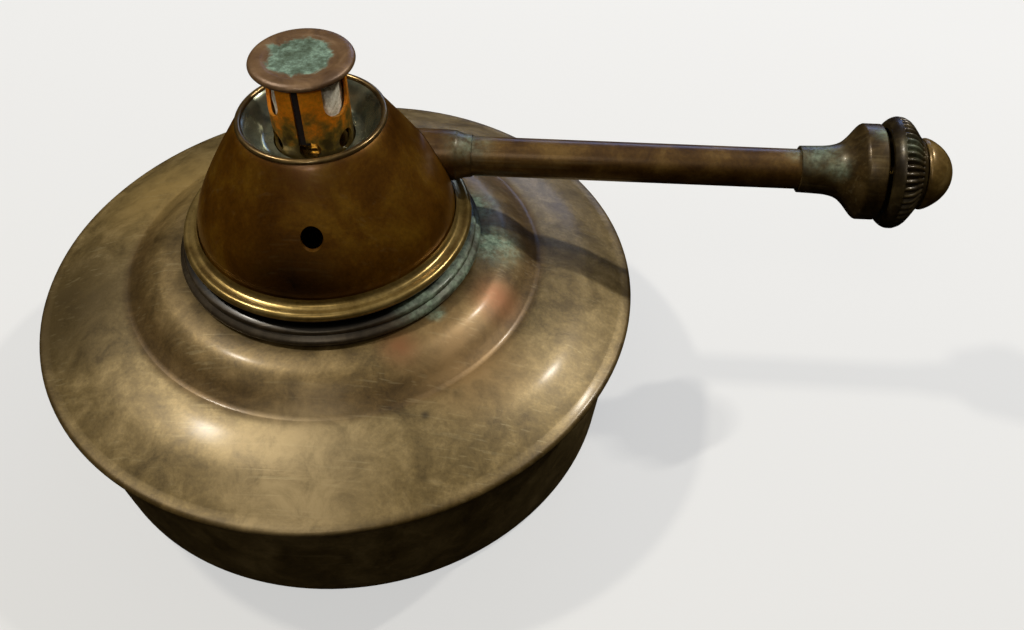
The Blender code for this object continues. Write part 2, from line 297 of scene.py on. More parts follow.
# %% Patterns, places and blends
def mottle(tree, place, size, detail=6.0, rough=0.6, swirl=0.0):
    """A noise about size mm across."""
    return add(tree, "TexNoise", {"Scale": 1 / (size * MM), "Detail": detail, "Roughness": rough,
                                  "Distortion": swirl}, {"Vector": place})


def ramp(tree, source, stops):
    """Reads a pattern through a colour ramp."""
    return add(tree, "ValToRGB", None, {"Fac": source}, stops)


def patches(tree, place, size, stops, detail=6.0, rough=0.6):
    """Patches about size mm across, with the ramp's shades."""
    return ramp(tree, mottle(tree, place, size, detail, rough), stops)


def blend(tree, share, under, over, mode="MIX"):
    """Lays one colour over another.  Share and over are outputs or fixed values."""
    values, links = {}, {6: under}
    for socket, given in ((0, share), (7, over)):
        (values if isinstance(given, (float, tuple)) else links)[socket] = given
    return add(tree, "Mix", values, links, output=2, data_type="RGBA", blend_type=mode)


def combine(tree, operation, first, second):
    """Works on two patterns with one sum."""
    return add(tree, "Math", None, {0: first, 1: second}, operation=operation)


def near(tree, place, centre, size):
    """1 at a centre, given in mm, and 0 from size mm away."""
    away = add(tree, "VectorMath", {1: [c * MM for c in centre]}, {0: place}, output="Value",
               operation="DISTANCE")
    return add(
        tree, "MapRange", {"From Min": 0.0, "From Max": size * MM, "To Min": 1.0, "To Max": 0.0},
        {"Value": away}, interpolation_type="SMOOTHSTEP")


# %% [markdown]
# A century of wiping leaves hairline scratches that catch the light, in a few directions and
# only here and there.  Each is drawn as noise stretched up to 60 to 1.  A real hairline is far
# too fine to show, so these are drawn about half a millimetre wide.

# %% Hairline scratches
def hairlines(tree, place):
    """1 on the scratches and 0 between them."""
    lines = None
    for turn, seed in ((0.5, 0.0), (-0.9, 0.3), (1.9, 0.7)):
        drawn = add(
            tree, "Mapping", {"Rotation": (0.3 * turn, 0.2, turn), "Location": (seed, 0, seed),
                              "Scale": (22.0, 1300.0, 700.0)}, {"Vector": place})
        streak = add(tree, "TexNoise", {"Scale": 1.0, "Detail": 1.0}, {"Vector": drawn})
        line = ramp(tree, streak, [(0.66, 0.0), (0.72, 1.0)])
        lines = line if lines is None else combine(tree, "MAXIMUM", lines, line)
    handled = patches(tree, place, 16.0, [(0.42, 0.0), (0.62, 1.0)], 3.0)
    return combine(tree, "MULTIPLY", lines, handled)


# %% [markdown]
# Verdigris is a green copper salt that grows where spirit and damp stay in a crevice.  It is a
# flaky crust, so its edge breaks up into flakes of two or three millimetres.

# %% Verdigris
def verdigris(tree, place, places, strength):
    """How much crust lies at each point, from (centre, size) places."""
    crust = None
    for centre, size in places:
        flakes = patches(tree, place, 2.6, [(0.28, 0.0), (0.66, 1.0)], 7.0, 0.7)
        here = combine(tree, "MULTIPLY", near(tree, place, centre, size), flakes)
        here = add(tree, "Math", {1: 1.7 * strength}, {0: here}, operation="MULTIPLY", use_clamp=True)
        crust = here if crust is None else combine(tree, "MAXIMUM", crust, here)
    return crust


# %% [markdown]
# Brass that has stood for a century is bare metal under a thin, uneven brown oxide.  The oxide
# scatters light and the metal mirrors it, so the shader is only partly metallic, with a faint
# coat for the wax and oil of handling.  The eye sees blotches about a centimetre across, a grain
# under a millimetre, stains, scratches and verdigris.  Each is one pattern at its own real size,
# and all the brass pieces share this one recipe.  Bands of painted shade round the stove's axis
# can be added.  They darken the colour in a spun sheet's creases and under overhangs, and leave
# its crests light as painted highlights.

# %% The aged brass recipe
def aged_brass(name, slot, tones, roughness, metal_share=0.4, coat=0.1, blotch=9.0, bump=0.25,
               scratch=0.2, stains=(), painted_shade_bands=None, green=(), green_share=0.9):
    """Dark, middle and light tones, low and high roughness, then what the piece adds."""
    material, tree, shader, place = new_material(
        name, slot, Metallic=metal_share, Coat_Weight=coat, Coat_Roughness=0.16)
    blotches = mottle(tree, place, blotch, 8.0, 0.68, 0.4)
    colour = ramp(tree, blotches, list(zip((0.34, 0.5, 0.66), tones)))
    grain = patches(tree, place, 0.7, [(0.3, 0.55), (0.7, 1.25)], 4.0, 0.7)
    colour = blend(tree, 0.55, colour, grain, "MULTIPLY")
    # Painted shade and painted highlight: bands round the axis darken the colour where shade falls and
    # leave the crests light.
    if painted_shade_bands:
        inner, outer, shades = painted_shade_bands
        level = add(tree, "VectorMath", {1: (1.0, 1.0, 0.0)}, {0: place}, operation="MULTIPLY")
        radius = add(tree, "VectorMath", None, {0: level}, output="Value", operation="LENGTH")
        share = add(tree, "MapRange", {"From Min": inner * MM, "From Max": outer * MM},
                    {"Value": radius})
        colour = blend(tree, 1.0, colour, ramp(tree, share, shades), "MULTIPLY")
    for centre, size, shade in stains:
        ragged = ramp(tree, blotches, [(0.15, 0.0), (0.55, 1.0)])
        soft = combine(tree, "MULTIPLY", near(tree, place, centre, size), ragged)
        colour = blend(tree, soft, colour, linear(shade))
    rough = add(tree, "MapRange", {"To Min": roughness[0], "To Max": roughness[1]},
                {"Value": blotches})

    scratches = hairlines(tree, place)
    bright = add(tree, "Math", {1: scratch}, {0: scratches}, operation="MULTIPLY")
    colour = blend(tree, bright, colour, linear("#cbbd92"))
    if green:
        crust = verdigris(tree, place, green, green_share)
        salt = patches(tree, place, 1.1, [(0.35, "#4c5e4a"), (0.65, "#93a890")], 5.0)
        colour = blend(tree, crust, colour, salt)
        rough = add(tree, "Mix", {"B": 0.75}, {"Factor": crust, "A": rough})
        bare = add(tree, "MapRange", {"To Min": metal_share, "To Max": 0.1}, {"Value": crust})
        tree.links.new(bare, shader.inputs["Metallic"])

    pores = mottle(tree, place, 0.45, 3.0)
    relief = add(tree, "Mix", {"Factor": 0.5}, {"A": pores, "B": blotches})
    pits = add(tree, "Bump", {"Strength": bump, "Distance": 0.06 * MM}, {"Height": relief})
    grooves = add(tree, "Bump", {"Strength": 0.25, "Distance": 0.03 * MM},
                  {"Height": scratches, "Normal": pits}, invert=True)
    tree.links.new(colour, shader.inputs["Base Color"])
    tree.links.new(rough, shader.inputs["Roughness"])
    tree.links.new(grooves, shader.inputs["Normal"])
    print(name, len(tree.nodes), "nodes")
    return material


# %% [markdown]
# The font is spun and drawn from sheet brass.  Its oxide is dull and olive, so the eye sees a
# satin metal with soft, wide highlights.  The cover is darker far left and lighter in front.
# Painted shade darkens the creases beside the raised ring, and a painted highlight lies along the
# rolled rim.  Two warm coppery stains and one black speck lie on its right half, and verdigris
# creeps out from the neck.

# %% The font's brass
font_brass = aged_brass(
    "spun brass, dull olive oxide", "font_brass", ("#5e5030", "#7c6c46", "#998860"), (0.36, 0.5),
    blotch=7.0, scratch=0.12,
    stains=[((-56.0, -14.0, 34.0), 26.0, "#4f4124"), ((2.0, -54.0, 36.0), 22.0, "#a28f68"),
            ((-43.0, 20.0, 37.0), 24.0, "#98804c"), ((30.0, -27.0, 41.0), 18.0, "#8e7248"),
            ((24.0, -40.3, 38.6), 1.4, "#140c04"), ((35.5, -13.5, 43.6), 8.0, "#8a5a34"),
            ((18.0, -28.8, 44.6), 6.0, "#7c5430")],
    # The bands are painted shade by the neck, in the creases beside the raised ring and just inside the
    # rolled rim, with the crests and the rim left light as painted highlights.
    painted_shade_bands=(26.0, 64.0, [
        (0.0, "#a8a090"), (0.13, "#d8cfc0"), (0.26, "#f4ead8"), (0.38, "#c8b69c"),
        (0.455, "#b8a68c"), (0.5, "#f4f0e8"), (0.94, "#f8f2e6"), (0.97, "#b8ac90"), (1.0, "#fff4e0")]),
    green=[((33.5, 1.0, 44.6), 9.0), ((29.0, 12.0, 45.3), 7.0), ((24.0, -20.0, 45.3), 3.0)])

# %% [markdown]
# The burner's dome gets hot, so its oxide is a deeper brown and glossier.  Painted shade makes it
# nearly black low down in front and a darker brown below the mouth, on the side facing the camera.

# %% The dome's brass
dome_brass = aged_brass(
    "spun brass, deep brown oxide", "dome_brass", ("#5a3604", "#72490a", "#8a6216"), (0.28, 0.38),
    metal_share=0.55, blotch=10.0, scratch=0.05,
    # The first two stains are painted shade on the dome's front.  The third is a small dark spot.
    stains=[((-2.0, -26.5, 55.0), 17.0, "#1c0a02"), ((1.0, -19.0, 81.0), 15.0, "#381a04"),
            ((12.5, -15.5, 78.0), 2.5, "#241004")])

# %% [markdown]
# Fingers rub the rolled lips, and the hidden threads never tarnish much.  These finishes are
# therefore lighter and more metallic, and the lips are so smooth that they show one long
# highlight.  The lip round the mouth is browned by the flame.

# %% Rubbed and inner brass
lip_brass = aged_brass(
    "brass, rubbed by fingers", "bright_brass", ("#6f592c", "#8a7440", "#a48d56"), (0.26, 0.32),
    metal_share=0.7, blotch=8.0, bump=0.02, scratch=0.0)
mouth_brass = aged_brass(
    "brass, browned by heat", "bright_brass", ("#574423", "#705a34", "#8a7448"), (0.26, 0.32),
    metal_share=0.7, blotch=6.0, bump=0.02, scratch=0.0)
inner_brass = aged_brass(
    "turned brass, little worn", "bright_brass", ("#8d7136", "#b5954f", "#cfae6a"), (0.2, 0.34),
    metal_share=0.9, blotch=6.0, bump=0.15)

# %% [markdown]
# The collar is dark grey-brown, with a green crust round its right side.  Where it goes under
# the dome's lip it is painted black, as painted shadow in the groove under the lip.

# %% The collar's brass
collar_brass = aged_brass(
    "turned brass, painted shade under the lip", "dark_brass", ("#2c2417", "#40372a", "#574c3c"), (0.28, 0.4),
    scratch=0.05,
    # Painted shadow: the bands paint the collar black where it goes under the dome's lip.
    painted_shade_bands=(26.0, 31.0, [(0.0, "#000000"), (0.62, "#181410"), (0.76, "#f0f0f0"), (1.0, "#ffffff")]),
    green=[((28.0, -10.5, 47.5), 11.0), ((22.0, -21.0, 47.5), 8.0), ((31.0, 3.0, 47.0), 9.0)],
    green_share=0.7)

# %% [markdown]
# The handle is the darkest part of all.  The tube is an even brown with a green bloom at each
# end, the gland housing has a grey-green bloom on its narrow neck, the knob is nearly black from
# the grease of fingers, and its nose is rubbed to a warmer brown.

# %% The handle's brass
tube_brass = aged_brass(
    "drawn brass tube, brown oxide", "dark_brass", ("#422a0a", "#573d14", "#705526"), (0.28, 0.42),
    blotch=7.0, scratch=0.08,
    green=[((28.0, 12.2, 62.5), 7.0), ((94.0, 12.2, 62.5), 3.0)], green_share=0.4)
housing_brass = aged_brass(
    "turned brass, green-grey bloom", "dark_brass", ("#32240e", "#48381a", "#5f4e2c"), (0.28, 0.44),
    blotch=4.0, scratch=0.08,
    green=[((98.5, 12.2, 63.3), 6.5), ((102.0, 8.0, 62.5), 4.0), ((110.0, 12.2, 68.0), 3.0)],
    green_share=0.45)
knob_brass = aged_brass(
    "turned brass, near black", "dark_brass", ("#22190b", "#342a16", "#4c4024"), (0.28, 0.42),
    blotch=3.5, scratch=0.05, green=[((116.0, 8.0, 68.5), 4.0)], green_share=0.35)
nose_brass = aged_brass(
    "turned brass, warm brown", "dark_brass", ("#523e1c", "#70592c", "#8a7240"), (0.26, 0.38),
    blotch=4.0, scratch=0.05)

# %% [markdown]
# The barrel is the hottest piece, and heat has left tarnish colours on its brass: dull olive at
# the cool foot and a glowing orange from the middle up.  The border between them is ragged, so
# the height up the barrel is mixed with a noise before it reaches the ramp.

# %% The heat-coloured barrel
copper, tree, shader, place = new_material("brass, reddened by flame", "copper", Metallic=0.3)
barrel_r, barrel_foot, barrel_top = upright("burner_barrel")
height = add(tree, "SeparateXYZ", None, {"Vector": place}, output="Z")
heat = add(tree, "MapRange", {"From Min": barrel_foot * MM, "From Max": barrel_top * MM, "To Max": 0.6},
           {"Value": height})
ragged_heat = combine(tree, "ADD", heat, mottle(tree, place, 3.0))
tarnish = ramp(tree, ragged_heat, [
    (0.56, "#4a3a12"), (0.68, "#7c6422"), (0.78, "#bc7a1e"), (0.88, "#ee8c14"), (1.0, "#f8981c")])
grain = patches(tree, place, 0.6, [(0.3, 0.6), (0.7, 1.2)], 4.0)
colour = blend(tree, 0.6, tarnish, grain, "MULTIPLY")
wear = mottle(tree, place, 2.0)
rough = add(tree, "MapRange", {"To Min": 0.3, "To Max": 0.55}, {"Value": wear})
tree.links.new(colour, shader.inputs["Base Color"])
tree.links.new(rough, shader.inputs["Roughness"])
print(f"barrel foot {barrel_foot:.1f} mm, top {barrel_top:.1f} mm")

# %% [markdown]
# Flame and damp have grown a round crust of verdigris on the cap, inside a brown border that is
# rubbed each time the cap is lifted.  The crust is matt and a little rough to the touch.

# %% The cap's crust
cap_finish, tree, shader, place = new_material("brass under verdigris", "verdigris_cap", Metallic=0.3)
cap_r, cap_foot, cap_top = upright("burner_cap")
flaky = mottle(tree, place, 4.5, 8.0, 0.7, 0.6)
middle_of_cap = near(tree, place, (-0.3, 0.3, cap_top), cap_r * 0.95)
crusted = ramp(tree, combine(tree, "ADD", middle_of_cap, flaky), [(0.74, 0.0), (0.86, 1.0)])
crust = patches(tree, place, 2.2, [(0.36, "#3c4a36"), (0.5, "#5c7060"), (0.64, "#86a290")], 7.0, 0.7)
border = ramp(tree, flaky, [(0.35, "#563f28"), (0.5, "#6c5236"), (0.7, "#84694a")])
colour = blend(tree, crusted, border, crust)
rough = add(tree, "MapRange", {"To Min": 0.42, "To Max": 0.8}, {"Value": crusted})
grit = mottle(tree, place, 0.9)
relief = add(tree, "Bump", {"Strength": 0.5, "Distance": 0.1 * MM}, {"Height": grit})
tree.links.new(colour, shader.inputs["Base Color"])
tree.links.new(rough, shader.inputs["Roughness"])
tree.links.new(relief, shader.inputs["Normal"])
print(f"cap radius {cap_r:.1f} mm")

# %% [markdown]
# The priming cup is wiped clean before each lighting.  It keeps a grey-green film and still
# mirrors the barrel, so it is the most metallic finish that shows from outside.

# %% The cup's brass
cup_finish, tree, shader, place = new_material("brass, wiped clean", "bright_brass", Metallic=0.7)
film = patches(tree, place, 4.0, [(0.35, "#5c6458"), (0.65, "#96947a")])
wiped = mottle(tree, place, 2.5)
rough = add(tree, "MapRange", {"To Min": 0.1, "To Max": 0.3}, {"Value": wiped})
tree.links.new(film, shader.inputs["Base Color"])
tree.links.new(rough, shader.inputs["Roughness"])
print("the cup's finish has", len(tree.nodes), "nodes")

# %% [markdown]
# The soft goods are a leather gasket, the cotton wick, a plug of pale mineral fibre in the
# barrel and graphite packing round the spindle.  The soot behind the barrel's seam is as matt as
# they are.  None of them is metal, and all of them scatter light, so they get a high roughness
# and a bump the size of their fibres.

# %% Fibre, leather, soot and packing
def fibrous(name, slot, shades, size, stretch=(1.0, 1.0, 1.0), bump=0.6):
    """A matt material of fibres about size mm across."""
    material, tree, shader, place = new_material(name, slot, Roughness=0.9)
    drawn = add(tree, "Mapping", {"Scale": stretch}, {"Vector": place})
    fibres = mottle(tree, drawn, size, 5.0, 0.7)
    tone = ramp(tree, fibres, [(0.32, shades[0]), (0.68, shades[1])])
    relief = add(tree, "Bump", {"Strength": bump, "Distance": 0.2 * MM}, {"Height": fibres})
    tree.links.new(tone, shader.inputs["Base Color"])
    tree.links.new(relief, shader.inputs["Normal"])
    print(name, "fibres of", size, "mm")
    return material


fibre = fibrous("woven mineral fibre", "mineral_fibre", ("#b5a98a", "#fffbe8"), 0.8)
cotton = fibrous("cotton wick, spirit stained", "cotton", ("#a08a62", "#e6dcc2"), 0.6, (1, 1, 0.2))
leather = fibrous("oiled leather washer", "leather", ("#0c0704", "#22140a"), 0.7)
soot = fibrous("brass under soot", "bright_brass", ("#0c0402", "#221006"), 0.7, bump=0.2)
graphite = fibrous("graphited packing", "graphite_packing", ("#0d0d0e", "#2a2a2c"), 0.5)

# %% [markdown]
# The cover is one sheet spun over a former: a flat round the neck, a raised ring, a short step
# down, a broad sloping ring and a rim rolled over the pan's lip.  A spline per stretch keeps the
# creases between the stretches crisp.  The rolled rim is an arc.

# %% The font's cover
SHEET = 0.8
STEP_R = 43.6
RIM_BEAD = 0.95
bead = (flange_r - RIM_BEAD, rim_z + RIM_BEAD + 0.95)
raised = smooth([
    (26.8, shoulder_z), (30.9, shoulder_z), (33.4, shoulder_z - 0.2), (36.2, shoulder_z - 0.95),
    (39.0, shoulder_z - 2.6), (41.2, shoulder_z - 4.3), (42.8, shoulder_z - 5.4)])
sloping = smooth([
    (STEP_R, shoulder_z - 5.75), (45.4, shoulder_z - 5.95), (49.0, shoulder_z - 6.8),
    (53.6, shoulder_z - 8.25), (58.2, shoulder_z - 10.4), (61.2, shoulder_z - 11.95)])
rolled = [(flange_r - RIM_BEAD, bead[1] + RIM_BEAD + 0.05)] + arc(bead, RIM_BEAD, 75, -90, 10)
under = [(flange_r - 2.3, bead[1] - RIM_BEAD)]
piece(
    dent(turned(walled(raised + sloping + rolled + under, SHEET - 0.25)), 0.3, 34.0, 1.7),
    "font_cover", font_brass, "font", ["reservoir_cover"])

# %% [markdown]
# The pan is drawn from the same sheet, with a lip that the cover's rim closes over, a wall that
# tapers towards the foot and a rounded corner at the flat base.

# %% The font's pan
pan_r, base_z, lip_z = upright("reservoir_pan")
CORNER_R = 2.4
FOOT_R = 57.9
corner = (FOOT_R - CORNER_R, base_z + CORNER_R)
outside = (
    [(pan_r, lip_z - 0.8), (pan_r - 1.3, lip_z - 0.85)]
    + arc((pan_r - 1.2, lip_z - 1.45), 0.5, 120, 190, 4)
    + smooth([(pan_r - 2.1, 27.5), (59.7, 20.0), (58.9, 11.0), (58.1, 4.0)], 5)
    + arc(corner, CORNER_R, -8, -90, 8) + [(0.0, base_z)])
inside = (
    [(0.0, base_z + SHEET), (corner[0], base_z + SHEET)]
    + arc(corner, CORNER_R - SHEET, -90, -8, 6)
    + [(pan_r - 2.9, 28.0), (pan_r - 2.3, lip_z), (pan_r, lip_z)])
piece(turned(outside + inside, closed=False), "font_pan", font_brass, "font", ["reservoir_pan"])

# %% [markdown]
# Round the neck sits a turned collar with two beads and a dark groove between them.  Its bore
# is threaded, and two ridges are enough of the thread to show.  It is one closed outline, so it
# is turned like the cover.

# %% The neck collar
collar_foot, collar_top = upright("neck_collar")[1:]
beads = (
    [(28.9, collar_top)] + arc((29.4, collar_top - 1.0), 0.65, 80, -60, 8)
    + arc((30.15, collar_top - 2.85), 0.85, 62, -75, 8) + [(30.3, collar_foot)])
BORE_R = 26.0
RIDGE_HEIGHTS, RIDGE_HALF, RIDGE_DEPTH = (1.1, 2.3), 0.35, 0.45
bore = [(BORE_R, collar_foot)]
for ridge in RIDGE_HEIGHTS:
    bore += [(BORE_R, collar_foot + ridge - RIDGE_HALF), (BORE_R - RIDGE_DEPTH, collar_foot + ridge),
             (BORE_R, collar_foot + ridge + RIDGE_HALF)]
bore.append((BORE_R, collar_top))
piece(turned(beads + bore), "neck_ring", collar_brass, "font", ["neck_collar"])

# %% [markdown]
# A flat leather washer lies on the collar and seals the burner.  It is set back a little under
# the dome's lip, where it shows only as a black groove, and its outer edge is rounded by the
# pressure.

# %% The leather washer
washer_r, washer_foot, washer_top = upright("neck_gasket")
piece(
    turned([(washer_r - 0.7, washer_top), *arc((washer_r - 1.0, washer_foot + 0.4), 0.4, 45, -45, 4),
            (washer_r - 0.7, washer_foot), (26.4, washer_foot), (26.4, washer_top)]),
    "leather_washer", leather, "seal", ["neck_gasket"])

# %% [markdown]
# The dome is a bell spun from thicker sheet, with a flared foot, a full convex shoulder and a
# narrow mouth.  It has a small round air hole in front and one behind, and a hole for the handle.
# The bell is turned from its outer wall and its lining, and the holes are drilled after that.

# %% The burner's dome
dome_foot, dome_top = upright("burner_dome")[1:]
tube_r, tube_start, tube_end = lying("handle_tube")
AIR_HOLE_R, AIR_HOLE_Z = 2.1, 64.7
AIR_HOLE_ANGLES = (-83.0, 97.0)
MOUTH_R = 13.6
wall = smooth([
    (MOUTH_R + 0.35, dome_top - 0.75), (15.0, dome_top - 1.9), (17.4, dome_top - 5.6),
    (20.1, dome_top - 9.9), (22.7, dome_top - 14.4), (24.6, dome_top - 18.2),
    (25.65, dome_top - 21.4), (25.95, dome_top - 23.9)], 8)
flared = smooth([(26.05, dome_foot + 2.1), (26.6, dome_foot + 1.5), (27.3, dome_foot + 1.35)], 4)
foot = [(27.6, dome_foot), (26.0, dome_foot), (25.2, dome_foot + 0.7)]
lining = smooth([
    (25.1, dome_foot + 3.0), (24.6, dome_foot + 6.2), (22.0, dome_foot + 11.6),
    (19.3, dome_foot + 16.1), (16.6, dome_foot + 20.3), (14.4, dome_foot + 23.7),
    (13.1, dome_top - 0.8)], 6)
dome = piece(turned(wall + flared + foot + lining), "burner_bell", dome_brass, "burner", ["burner_dome"])
DRILL_REACH = 16.0
tools = [drill(AIR_HOLE_R, DRILL_REACH, outwards(angle, 21.5, AIR_HOLE_Z)) for angle in AIR_HOLE_ANGLES]
cut(dome, tools + [drill(tube_r + 0.25, DRILL_REACH, along_handle(20.0))])

# %% [markdown]
# The rolled lips at the foot and at the mouth are the brightest metal on the stove, because
# fingers rub them.  They are turned as rings of their own, so that their finish ends in a clean
# line where the roll begins.  The foot's lip climbs the wall in a small hollow that catches one
# long highlight.

# %% The dome's lips
piece(
    turned([(27.0, dome_foot + 0.02)] + arc((28.3, dome_foot + 0.66), 0.98, -42, 112, 14)
           + smooth([(27.5, dome_foot + 1.55), (26.85, dome_foot + 1.75), (26.4, dome_foot + 2.25),
                     (26.2, dome_foot + 3.0)], 4) + [(26.0, dome_foot + 2.2), (26.9, dome_foot + 0.9)]),
    "bell_foot_lip", lip_brass, "burner", [])
piece(
    turned(arc((MOUTH_R + 0.15, dome_top - 0.6), 0.6, 0, 345, 16)),
    "bell_mouth_lip", mouth_brass, "burner", [])

# %% [markdown]
# Under the dome a plug screws into the collar: a flat web with a hole for the wick tube, and a
# thin skirt that carries the thread.

# %% The plug
plug_foot, plug_top = upright("burner_base")[1:]
SKIRT_R = 24.6
PLUG_WALL = 1.0
WICK_HOLE_R = 5.4
piece(
    turned([(SKIRT_R, plug_top), (SKIRT_R, plug_foot + 0.4), (SKIRT_R - 0.4, plug_foot),
            (SKIRT_R - PLUG_WALL, plug_foot), (SKIRT_R - PLUG_WALL, plug_top - PLUG_WALL),
            (WICK_HOLE_R, plug_top - PLUG_WALL), (WICK_HOLE_R, plug_top)]),
    "neck_plug", inner_brass, "burner", ["burner_base"])

# %% [markdown]
# The thread is a true helix, as the real one is cut on a lathe.  The spin operator can climb as
# it turns, so a small triangle is spun through two and a half turns.

# %% The plug's thread
PITCH = 1.6
THREAD_TURNS = 2.5
THREAD_FOOT = plug_foot + 0.75
work = bmesh.new()
section = [(SKIRT_R - 0.1, -0.45), (SKIRT_R + 0.42, 0.0), (SKIRT_R - 0.1, 0.45)]
profile = [work.verts.new((r * MM, 0.0, (THREAD_FOOT + z) * MM)) for r, z in section]
face = work.faces.new(profile)
steps = int(96 * THREAD_TURNS)
bmesh.ops.spin(
    work, geom=[face], cent=(0, 0, 0), axis=(0, 0, 1), angle=2 * math.pi * THREAD_TURNS,
    steps=steps, dvec=(0, 0, PITCH * THREAD_TURNS / steps * MM), use_merge=False)
bmesh.ops.recalc_face_normals(work, faces=work.faces)
piece(work, "plug_thread", inner_brass, "burner", [], sharp=60)

# %% [markdown]
# The priming cup hangs in the dome's mouth.  A little spirit burns in it to heat the burner.  It
# is a thin spun bowl with a hole for the barrel, so it is turned from its hollow and its shell.

# %% The priming cup
cup_r, cup_foot, cup_lip = upright("flame_cup")
hollow = smooth([
    (cup_r + 0.6, cup_lip + 0.25), (cup_r - 0.15, cup_lip - 0.5), (11.2, cup_foot + 2.6),
    (10.0, cup_foot + 1.1), (9.0, cup_foot + 0.62), (barrel_r + 0.3, cup_foot + 0.6)], 6)
shell = smooth([
    (barrel_r + 0.3, cup_foot), (9.6, cup_foot), (10.9, cup_foot + 1.2), (11.9, cup_foot + 3.1),
    (cup_r + 0.6, cup_lip)], 6)
piece(turned(hollow + shell), "priming_cup", cup_finish, "burner", ["flame_cup"])

# %% [markdown]
# The barrel is a rolled tube.  It is turned first, as a plain tube with a slightly broken top
# edge.

# %% The flame barrel
BARREL_WALL = 0.6
inner_r = barrel_r - BARREL_WALL
barrel = piece(
    turned([(barrel_r - 0.1, barrel_top), (barrel_r, barrel_top - 0.1), (barrel_r, barrel_foot),
            (inner_r, barrel_foot), (inner_r, barrel_top)], steps=120),
    "flame_barrel", copper, "burner", ["burner_barrel"])

# %% [markdown]
# Round the barrel's foot are six air ports, and under the cap three windows with round feet let
# the flame out.  The seam is left open down to one port.  Each is one drill or saw cut, as it
# was in the real tube.

# %% Ports, windows and seam
PORTS, WINDOWS = 6, 3
PORT_R, PORT_Z, FIRST_PORT = 2.0, 73.7, -83.0
WINDOW_W, WINDOW_Z, FIRST_WINDOW = 6.6, 79.4, -28.0
SEAM_W, SEAM_ANGLE = 1.4, -92.0
BARREL_DRILL = 3.0


def saw(width, foot, angle):
    """A saw cut from a foot height up through the barrel's top edge."""
    tall = barrel_top + 1.0 - foot
    size = Matrix.Diagonal((BARREL_DRILL * MM, width * MM, tall * MM, 1.0))
    place = Matrix.Rotation(math.radians(angle), 4, "Z") @ Matrix.Translation(
        (barrel_r * MM, 0, (foot + tall / 2) * MM))
    work = bmesh.new()
    bmesh.ops.create_cube(work, matrix=place @ size, size=1.0)
    return cutter(work)


tools = [saw(SEAM_W, PORT_Z, SEAM_ANGLE)]
for i in range(PORTS):
    tools.append(drill(PORT_R, BARREL_DRILL, outwards(FIRST_PORT + i * 360 / PORTS, barrel_r, PORT_Z)))
for i in range(WINDOWS):
    angle = FIRST_WINDOW + i * 360 / WINDOWS
    round_foot = WINDOW_Z + WINDOW_W / 2
    tools.append(drill(WINDOW_W / 2, BARREL_DRILL, outwards(angle, barrel_r, round_foot)))
    tools.append(saw(WINDOW_W, round_foot, angle))
cut(barrel, tools)

# %% [markdown]
# Behind the open seam lies the rolled sheet's other edge, black with soot.  It is a thin strip,
# so a cube stretched to its size is enough.

# %% The seam's sooty lap
LAP_THICK, LAP_WIDE = 0.2, 2.6
lap_height = cap_foot - PORT_Z + 2.0
work = bmesh.new()
bmesh.ops.create_cube(
    work, size=1.0, matrix=Matrix.Rotation(math.radians(SEAM_ANGLE), 4, "Z")
    @ Matrix.Translation(((inner_r - 0.16) * MM, 0, (PORT_Z + 1.0 + lap_height / 2) * MM))
    @ Matrix.Diagonal((LAP_THICK * MM, LAP_WIDE * MM, lap_height * MM, 1.0)))
piece(work, "seam_lap", soot, "burner", [])

# %% [markdown]
# Inside the barrel sits a plug of woven mineral fibre that shows pale through the windows.  It
# is lumpy, so its surface is pushed in by noise.

# %% The fibre plug
fibre_r, fibre_foot, fibre_top = upright("barrel_diffuser")
side = smooth([(fibre_r - 0.7, fibre_top), (fibre_r, fibre_top - 0.8), (fibre_r, fibre_foot + 0.7),
               (fibre_r - 0.6, fibre_foot)], 10)
work = turned([(0.0, fibre_top - 0.1)] + side + [(0.0, fibre_foot)], closed=False, steps=96)
dent(work, 0.35, 1.6, 4.2)
piece(work, "fibre_plug", fibre, "burner", ["barrel_diffuser"], sharp=60)

# %% [markdown]
# The cap is a turned disc: a shallow dish on top, a rounded edge, and a spigot below that drops
# into the barrel.

# %% The cap
dish = smooth([(0.0, cap_top - 0.45), (4.5, cap_top - 0.42), (6.4, cap_top - 0.3),
               (7.3, cap_top - 0.08), (8.2, cap_top)], 5)
edge_line = smooth([(8.9, cap_top - 0.05), (9.45, cap_top - 0.35), (cap_r, cap_top - 0.85),
                    (9.45, cap_top - 1.3), (8.9, cap_top - 1.5)], 5)
spigot_r = inner_r - 0.4
spigot = [(spigot_r, cap_top - 1.55), (spigot_r, cap_foot + 0.5), (spigot_r - 0.5, cap_foot),
          (0.0, cap_foot)]
piece(
    turned(dish + edge_line + spigot, closed=False), "burner_top", cap_finish, "cap", ["burner_cap"])

# %% [markdown]
# The handle is a drawn tube that enters the dome beside the stove's axis.  It is turned upright
# like everything else and then laid along the handle's axis.

# %% The handle's tube
TUBE_BORE = 3.3
TUBE_STEPS = 96
piece(
    lay(turned([(tube_r, tube_end), (tube_r, tube_start), (TUBE_BORE, tube_start),
                (TUBE_BORE, tube_end)], steps=TUBE_STEPS)),
    "handle_pipe", tube_brass, "burner", ["handle_tube"])

# %% [markdown]
# At the dome the tube is soldered into a small saddle that swells towards the wall and follows
# its curve.  The saddle is turned too long, and the bell's own outline is then cut out of it, so
# that the two meet all the way round.

